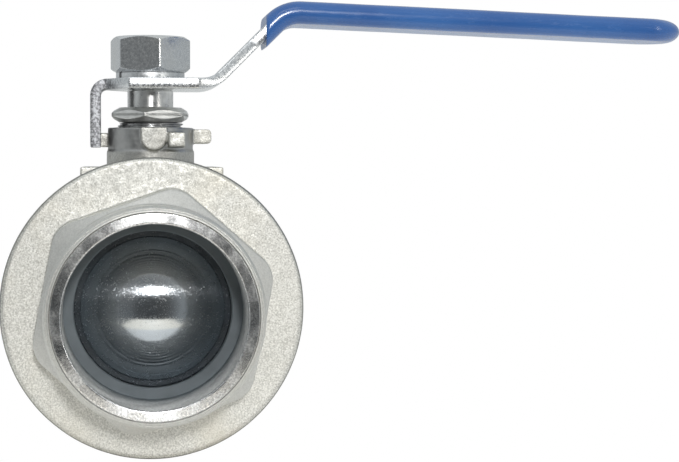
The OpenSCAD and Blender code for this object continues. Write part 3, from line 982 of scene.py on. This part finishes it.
def cast_steel(name, painted_shade_factor=1.0):
    """Blasted investment casting: fine bright and dark grain, faint stains, a few pits, painted shade on
    the neck and lug roots above the pad, and every colour scaled by a factor that makes a darker,
    painted-shade copy.
    """
    f = Finish(name, (0.7, 0.69, 0.65), 1.0, 0.5)
    grain = f.noise(1900, 3.0, 0.6)
    coarse = f.noise(620, 2.0, 0.5)
    stain = f.noise(34, 3.0, 0.55)
    dark, light = (0.53, 0.52, 0.48), (0.87, 0.86, 0.81)
    base = f.blend(f.span(grain, 0.36, 0.64), times(dark, painted_shade_factor), times(light, painted_shade_factor))
    base = f.blend(f.span(stain, 0.5, 0.72, 0, 0.5), base, times((0.70, 0.66, 0.56), painted_shade_factor))
    pits = f.span(f.cells(520), 0.05, 0.16, 0.5, 0.0)
    base = f.blend(pits, base, (0.36, 0.35, 0.32))
    axes = f.axes()
    from_stem = f.maths("SUBTRACT", axes["Y"], STEM_Y * MM)
    radius = f.maths("POWER", axes["X"], 2.0)
    radius = f.maths("SQRT", f.maths("ADD", radius, f.maths("POWER", from_stem, 2.0)), 0.0)
    from_middle = f.maths("ABSOLUTE", from_stem, 0.0)
    worn = f.span(from_middle, (STEM_Y - FLANGE_Y) * MM, (STEM_Y - FLANGE_Y + 0.8) * MM, 0.0, 0.7)
    base = f.blend(worn, base, times((0.66, 0.655, 0.63), painted_shade_factor))
    above_pad = f.span(axes["Z"], PAD_TOP * MM, (PAD_TOP + 1) * MM)
    near = f.span(radius, (NECK_R + 0.2) * MM, (NECK_R + 0.5) * MM, 1.0, 0.0)
    neck = f.maths("MULTIPLY", near, above_pad)
    base = f.blend(neck, base, f.blend(f.span(coarse, 0.35, 0.65), (0.5, 0.5, 0.49), (0.58, 0.58, 0.57)))
    # Painted shade: above the pad, the neck and the roots of the lugs close to it are darkened a quarter of
    # the way to near black.
    painted_lug_shade = f.span(radius, LUG_SHADE_R * MM, (LUG_SHADE_R + 1) * MM, 0.25, 0.0)
    lugs = f.maths("MULTIPLY", painted_lug_shade, above_pad)
    f.colour(f.blend(lugs, base, (0.1, 0.1, 0.1)))
    f.roughness(f.maths("SUBTRACT", f.span(coarse, 0.3, 0.7, 0.42, 0.6), f.maths("MULTIPLY", neck, 0.12)))
    fine = f.maths("MULTIPLY", grain, f.span(f.maths("ADD", neck, worn), 0.0, 1.0, 1.0, 0.25))
    first = f.bump(fine, 0.05, 0.8)
    f.bump(coarse, 0.05, 0.5, first)
    return f.material


def machined_face():
    """Turned end face: fine circular marks that stretch the light along the radius."""
    f = Finish("cast_steel_turned_face", (0.8, 0.8, 0.79), 1.0, 0.3)
    f.lathe("Y", 0.75)
    speckle = f.noise(1500, 3.0, 0.6)
    patch = f.noise(150, 2.0, 0.5)
    f.colour(f.blend(f.span(speckle, 0.38, 0.62), (0.5, 0.5, 0.5), (0.94, 0.94, 0.93)))
    f.roughness(f.span(patch, 0.35, 0.65, 0.17, 0.34))
    f.bump(speckle, 0.02, 0.5)
    return f.material


def bored_steel():
    """Bored and threaded walls, with painted shade that darkens them towards the ball."""
    f = Finish("cast_steel_bored", (0.4, 0.41, 0.41), 1.0, 0.5)
    f.lathe("Y", 0.2)
    marks = f.noise(160, 3.0, 0.6, f.stretched((1, 14, 1)))
    grain = f.noise(1200, 2.0)
    from_ball = f.maths("ABSOLUTE", f.maths("SUBTRACT", f.axes()["Y"], STEM_Y * MM), 0.0)
    # Painted shade: the walls turn dark blue-grey deep in the socket, near the ball.
    painted_socket_shade = f.span(from_ball, (STEM_Y - SOCKET_DEPTH + 0.5) * MM, (STEM_Y - 8) * MM, 1.0, 0.0)
    metal = f.blend(f.span(grain, 0.35, 0.65), (0.54, 0.545, 0.54), (0.68, 0.68, 0.67))
    f.colour(f.blend(painted_socket_shade, metal, (0.21, 0.235, 0.25)))
    f.roughness(f.span(marks, 0.3, 0.7, 0.5, 0.64))
    f.bump(marks, 0.012, 0.5)
    return f.material


def polished_ball():
    """Ground and polished ball: a sharp image under fine speckle that spreads the light sideways."""
    f = Finish("ball_polished_steel", (0.6, 0.63, 0.66), 1.0, 0.16)
    f.lathe("X", 0.95)
    speckle = f.noise(2300, 2.0, 0.6)
    wipe = f.noise(300, 3.0, 0.6, f.stretched((1, 4, 4)))
    haze = f.noise(55, 2.0, 0.5)
    base = f.blend(f.span(speckle, 0.4, 0.66), (0.56, 0.6, 0.635), (0.64, 0.68, 0.715))
    f.colour(f.blend(f.span(haze, 0.45, 0.7, 0, 0.5), base, (0.60, 0.59, 0.57)))
    both = f.maths("MULTIPLY", f.span(speckle, 0.5, 0.64), f.span(wipe, 0.35, 0.6, 0.3, 1.0))
    f.roughness(f.span(both, 0.0, 1.0, 0.12, 0.3))
    f.bump(speckle, 0.0006, 0.3)
    return f.material


def turned_steel(name, colour, roughness):
    """Turned stainless bar: rings about the stem and light handling marks."""
    f = Finish(name, colour, 1.0, roughness)
    f.lathe("Z", 0.55)
    rings = f.noise(150, 4.0, 0.7, f.stretched((1, 1, 22)))
    marks = f.noise(420, 4.0, 0.65)
    f.colour(f.blend(f.span(marks, 0.34, 0.66), times(colour, 0.84), times(colour, 1.16)))
    f.roughness(f.span(marks, 0.3, 0.7, roughness * 0.75, roughness * 1.35))
    f.bump(rings, 0.006, 0.5)
    return f.material


def brushed_steel(name, colour, roughness):
    """Milled hexagon flats with a short brushed grain."""
    f = Finish(name, colour, 1.0, roughness)
    brush = f.noise(260, 4.0, 0.7, f.stretched((1, 1, 9)))
    blotch = f.noise(120, 3.0, 0.6)
    f.colour(f.blend(f.span(blotch, 0.34, 0.68), times(colour, 0.8), times(colour, 1.15)))
    f.roughness(f.span(brush, 0.3, 0.7, roughness * 0.7, roughness * 1.4))
    f.bump(brush, 0.01, 0.5, f.bump(blotch, 0.03, 0.35))
    return f.material


def zinc_plate(name, dents, roughness, dark_tab_span=None):
    """Bright zinc over pressed or forged steel: milky mottling, dents and dark scratches."""
    f = Finish(name, (0.72, 0.74, 0.76), 1.0, roughness)
    mottle = f.noise(1300, 3.0, 0.6)
    cloud = f.noise(60, 3.0, 0.5)
    scratch = f.cells(260, f.stretched((0.32, 1, 1.6)))
    spread = 0.45 + 0.55 * dents
    low = tuple(0.73 - spread * c for c in (0.15, 0.13, 0.11))
    high = tuple(0.73 + spread * c for c in (0.13, 0.14, 0.15))
    base = f.blend(f.span(mottle, 0.34, 0.66), low, high)
    base = f.blend(f.span(cloud, 0.5, 0.75, 0, 0.4), base, (0.78, 0.75, 0.68))
    base = f.blend(f.span(scratch, 0.02, 0.13, 0.6 * dents, 0.0), base, (0.2, 0.2, 0.21))
    rough = f.span(mottle, 0.3, 0.7, roughness * 0.75, roughness * 1.5)
    if dark_tab_span is not None:
        near, far = dark_tab_span
        # Darker, duller and rougher along X from near to far, towards the stop tab.
        dull = f.span(f.axes()["X"], far * MM, near * MM, 1.0, 0.0)
        base = f.blend(dull, base, f.blend(f.span(mottle, 0.42, 0.6), (0.2, 0.2, 0.21), (0.62, 0.63, 0.65)))
        rough = f.maths("ADD", rough, f.maths("MULTIPLY", dull, 0.2))
    f.colour(base)
    f.roughness(rough)
    f.bump(mottle, 0.02, 0.5 * dents, f.bump(scratch, 0.04, 0.4 * dents))
    return f.material


def blue_vinyl():
    """Dipped vinyl: glossy blue with a soft orange peel and scuffs."""
    f = Finish("blue_vinyl_dipped", (0.035, 0.145, 0.46), 0.0, 0.2, IOR=1.5, Coat_Weight=0.25)
    f.shader.inputs["Coat Roughness"].default_value = 0.12
    peel = f.noise(190, 2.0, 0.5)
    tone = f.noise(38, 3.0, 0.5)
    scuff = f.noise(900, 4.0, 0.7, f.stretched((0.2, 1, 1)))
    base = f.blend(f.span(tone, 0.35, 0.68), (0.037, 0.13, 0.4), (0.052, 0.17, 0.475))
    f.colour(f.blend(f.span(scuff, 0.62, 0.8, 0, 0.35), base, (0.12, 0.24, 0.55)))
    f.roughness(f.span(scuff, 0.35, 0.75, 0.17, 0.34))
    f.bump(peel, 0.05, 0.35)
    return f.material


def ptfe(name, dark, light, glow):
    """PTFE with faint turning rings and a waxy gloss."""
    f = Finish(name, light, 0.0, 0.42, Subsurface_Weight=glow)
    rings = f.noise(170, 3.0, 0.6, f.stretched((1, 10, 1)))
    cloud = f.noise(70, 3.0, 0.5)
    f.colour(f.blend(f.span(cloud, 0.3, 0.7), dark, light))
    f.roughness(f.span(rings, 0.3, 0.7, 0.34, 0.5))
    f.bump(rings, 0.02, 0.4)
    return f.material


def black_rubber():
    """Smooth black rubber with a dusty bloom."""
    f = Finish("rubber_black", (0.02, 0.02, 0.022), 0.0, 0.45)
    bloom = f.noise(300, 4.0, 0.6)
    f.colour(f.blend(f.span(bloom, 0.4, 0.75), (0.014, 0.014, 0.016), (0.05, 0.05, 0.053)))
    f.roughness(f.span(bloom, 0.3, 0.7, 0.36, 0.58))
    f.bump(bloom, 0.02, 0.3)
    return f.material


# ----------------------------------------------------------------- assembly
def dress(obj, *materials):
    """Gives obj these materials and no others."""
    obj.data.materials.clear()
    for material in materials:
        obj.data.materials.append(material)


def stand_for(obj, node, body, slot, *materials):
    """A detailed piece takes the place of a CAD node and moves with its body."""
    index = np.zeros(len(obj.data.polygons), np.int32)
    obj.data.polygons.foreach_get("material_index", index)
    dress(obj, *materials)
    obj.data.polygons.foreach_set("material_index", index.clip(0, len(materials) - 1))
    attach(obj, body)
    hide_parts(node)


def assemble():
    """Builds every visible piece and gives the carried-over CAD nodes their finish."""
    cast, face, bore = cast_steel("cast_steel_blasted"), machined_face(), bored_steel()
    # A copy of the cast finish at half brightness: painted shade for the rim bands.
    rim = cast_steel("cast_steel_rim_painted_shade", 0.5)
    stand_for(build_end_cap(), "end_cap", "housing", "cast_steel", cast, face, bore, rim)
    stand_for(build_body(), "body_casting", "housing", "cast_steel", cast, face, bore, rim)
    stand_for(build_ball(), "ball", "ball", "polished_steel", polished_ball())
    shank = turned_steel("stem_steel", (0.68, 0.68, 0.67), 0.3)
    stand_for(build_stem(), "stem", "handle", "turned_steel", shank)
    gland = brushed_steel("gland_nut_steel", (0.84, 0.84, 0.82), 0.4)
    thread = turned_steel("gland_thread_steel", (0.5, 0.5, 0.5), 0.3)
    stand_for(build_gland_nut(), "gland_nut", "housing", "turned_steel", gland, thread)
    nut = zinc_plate("nut_zinc", 0.12, 0.2)
    stand_for(build_handle_nut(), "handle_nut", "handle", "zinc_steel", nut, thread)
    washer = zinc_plate("washer_zinc", 0.5, 0.34)
    stand_for(build_lock_washer(), "lock_washer", "handle", "zinc_steel", washer)
    plate = zinc_plate("lever_zinc", 0.9, 0.24, (-9.0, -15.0))
    stand_for(build_lever(), "handle_lever", "handle", "zinc_steel", plate)
    stand_for(build_grip(), "handle_grip", "handle", "blue_vinyl", blue_vinyl())
    white = ptfe("ptfe_white", (0.78, 0.78, 0.74), (0.9, 0.9, 0.88), 0.15)
    filled = ptfe("ptfe_carbon_filled", (0.15, 0.16, 0.17), (0.21, 0.22, 0.23), 0.0)
    rubber = black_rubber()
    bush = turned_steel("gland_bush_steel", (0.6, 0.6, 0.6), 0.28)
    for node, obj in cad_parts.items():
        if node.startswith("packing_") or node in ("body_gasket", "thrust_washer"):
            dress(obj, white)
        elif node in ("seat_inlet", "seat_outlet"):
            dress(obj, filled)
        elif node == "stem_o_ring":
            dress(obj, rubber)
        elif node == "gland_bush":
            dress(obj, bush)


# -------------------------------------------------------- camera and studio
def make_camera():
    """Camera a little above the bore, turned slightly towards the lever."""
    yaw, pitch, roll = (math.radians(degrees) for degrees in (7.291, 2.359, 0.082))
    eye = (-0.012966, -0.5375, 0.048345)
    data = bpy.data.cameras.new("camera")
    data.sensor_width = 36.0
    data.lens = 94.446
    camera = bpy.data.objects.new("camera", data)
    bpy.context.scene.collection.objects.link(camera)
    turn = Matrix.Rotation(-yaw, 4, "Z") @ Matrix.Rotation(math.radians(90) - pitch, 4, "X")
    camera.matrix_world = Matrix.Translation(eye) @ turn @ Matrix.Rotation(roll, 4, "Z")
    bpy.context.scene.camera = camera


def stage_sheet(name, corners, colour, base_strength, camera_strength):
    """A flat sheet that the camera sees as white and other rays see in its own colour."""
    sheet = piece(name, corners, [list(range(len(corners)))])
    material = bpy.data.materials.new(name + "_paper")
    material.use_nodes = True
    nodes, links = material.node_tree.nodes, material.node_tree.links
    shader = nodes["Principled BSDF"]
    shader.inputs["Base Color"].default_value = (*colour, 1)
    shader.inputs["Roughness"].default_value = 0.6
    shader.inputs["Emission Color"].default_value = (*colour, 1)
    shader.inputs["Emission Strength"].default_value = base_strength
    seen = nodes.new("ShaderNodeEmission")
    seen.inputs["Strength"].default_value = camera_strength
    paths = nodes.new("ShaderNodeLightPath")
    mix = nodes.new("ShaderNodeMixShader")
    links.new(paths.outputs["Is Camera Ray"], mix.inputs[0])
    links.new(shader.outputs[0], mix.inputs[1])
    links.new(seen.outputs[0], mix.inputs[2])
    links.new(mix.outputs[0], nodes["Material Output"].inputs["Surface"])
    dress(sheet, material)


def make_floor():
    """White floor for the camera; other rays see a dim sheet and a brighter, narrow one in front."""
    low = CAP_LOW[2] - 0.2
    front, middle, back = -165.0, -70.0, 4000.0
    narrow, wide = 76.0, 3000.0

    def corners(x, near, far):
        return [[-x, near, low], [x, near, low], [x, far, low], [-x, far, low]]

    stage_sheet("floor", corners(wide, middle, back), (0.9, 0.89, 0.87), 0.2, 1.0)
    stage_sheet("floor_front", corners(narrow, front, middle), (0.9, 0.84, 0.74), 0.5, 1.0)


def soft_box(name, place, target, size, watts, colour=(1, 1, 1)):
    """Rectangular light, metres and watts."""
    data = bpy.data.lights.new(name, "AREA")
    data.shape = "RECTANGLE"
    data.size, data.size_y = size
    data.energy = watts
    data.color = colour
    light = bpy.data.objects.new(name, data)
    bpy.context.scene.collection.objects.link(light)
    light.location = place
    direction = Matrix.Translation(target).translation - light.location
    light.rotation_euler = direction.to_track_quat("-Z", "Y").to_euler()
    light.visible_camera = False


def make_world():
    """White surround for the camera; a dim room in front and a bright one above for reflections."""
    world = bpy.data.worlds.new("studio")
    bpy.context.scene.world = world
    world.use_nodes = True
    nodes, links = world.node_tree.nodes, world.node_tree.links
    out = nodes["World Output"]
    seen = nodes["Background"]
    seen.inputs["Color"].default_value = (1, 1, 1, 1)
    seen.inputs["Strength"].default_value = 1.0
    room = nodes.new("ShaderNodeBackground")
    split = nodes.new("ShaderNodeSeparateXYZ")
    coords = nodes.new("ShaderNodeTexCoord")
    links.new(coords.outputs["Generated"], split.inputs[0])

    def ramp(socket, low, high, to_low, to_high):
        node = nodes.new("ShaderNodeMapRange")
        node.interpolation_type = "SMOOTHSTEP"
        set_range(node, low, high, to_low, to_high)
        links.new(socket, node.inputs["Value"])
        return node.outputs["Result"]

    def add(a, b):
        node = nodes.new("ShaderNodeMath")
        node.operation = "ADD"
        links.new(a, node.inputs[0])
        links.new(b, node.inputs[1])
        return node.outputs[0]

    def towards(azimuth, elevation):
        node = nodes.new("ShaderNodeVectorMath")
        node.operation = "DOT_PRODUCT"
        a, e = math.radians(azimuth), math.radians(elevation)
        node.inputs[1].default_value = (math.sin(a) * math.cos(e), -math.cos(a) * math.cos(e), math.sin(e))
        links.new(coords.outputs["Generated"], node.inputs[0])
        return node.outputs["Value"]

    front = ramp(towards(-14, 0), 0.5, 0.93, 0.52, 0.19)
    hollow = ramp(towards(3, -2), 0.91, 0.95, 0.0, -0.11)
    above = ramp(split.outputs["Z"], 0.2, 0.75, 0.0, 0.16)
    links.new(add(add(front, above), hollow), room.inputs["Strength"])
    room.inputs["Color"].default_value = (0.93, 0.98, 1.0, 1)
    paths = nodes.new("ShaderNodeLightPath")
    mix = nodes.new("ShaderNodeMixShader")
    links.new(paths.outputs["Is Camera Ray"], mix.inputs[0])
    links.new(room.outputs[0], mix.inputs[1])
    links.new(seen.outputs[0], mix.inputs[2])
    links.new(mix.outputs[0], out.inputs["Surface"])


def make_studio():
    make_camera()
    make_world()
    make_floor()
    aim = (0.0, STEM_Y * MM, 0.02)
    soft_box("light_key", (0.05, -1.28, 0.36), aim, (0.13, 0.15), 5.2)
    soft_box("light_high", (-0.1, -0.75, 0.85), aim, (0.5, 0.4), 1.2)
    soft_box("light_right", (0.95, -1.0, 0.3), aim, (0.12, 0.4), 1.3, (1.0, 0.97, 0.92))
    bpy.context.scene.view_settings.view_transform = "Standard"


make_studio()
assemble()
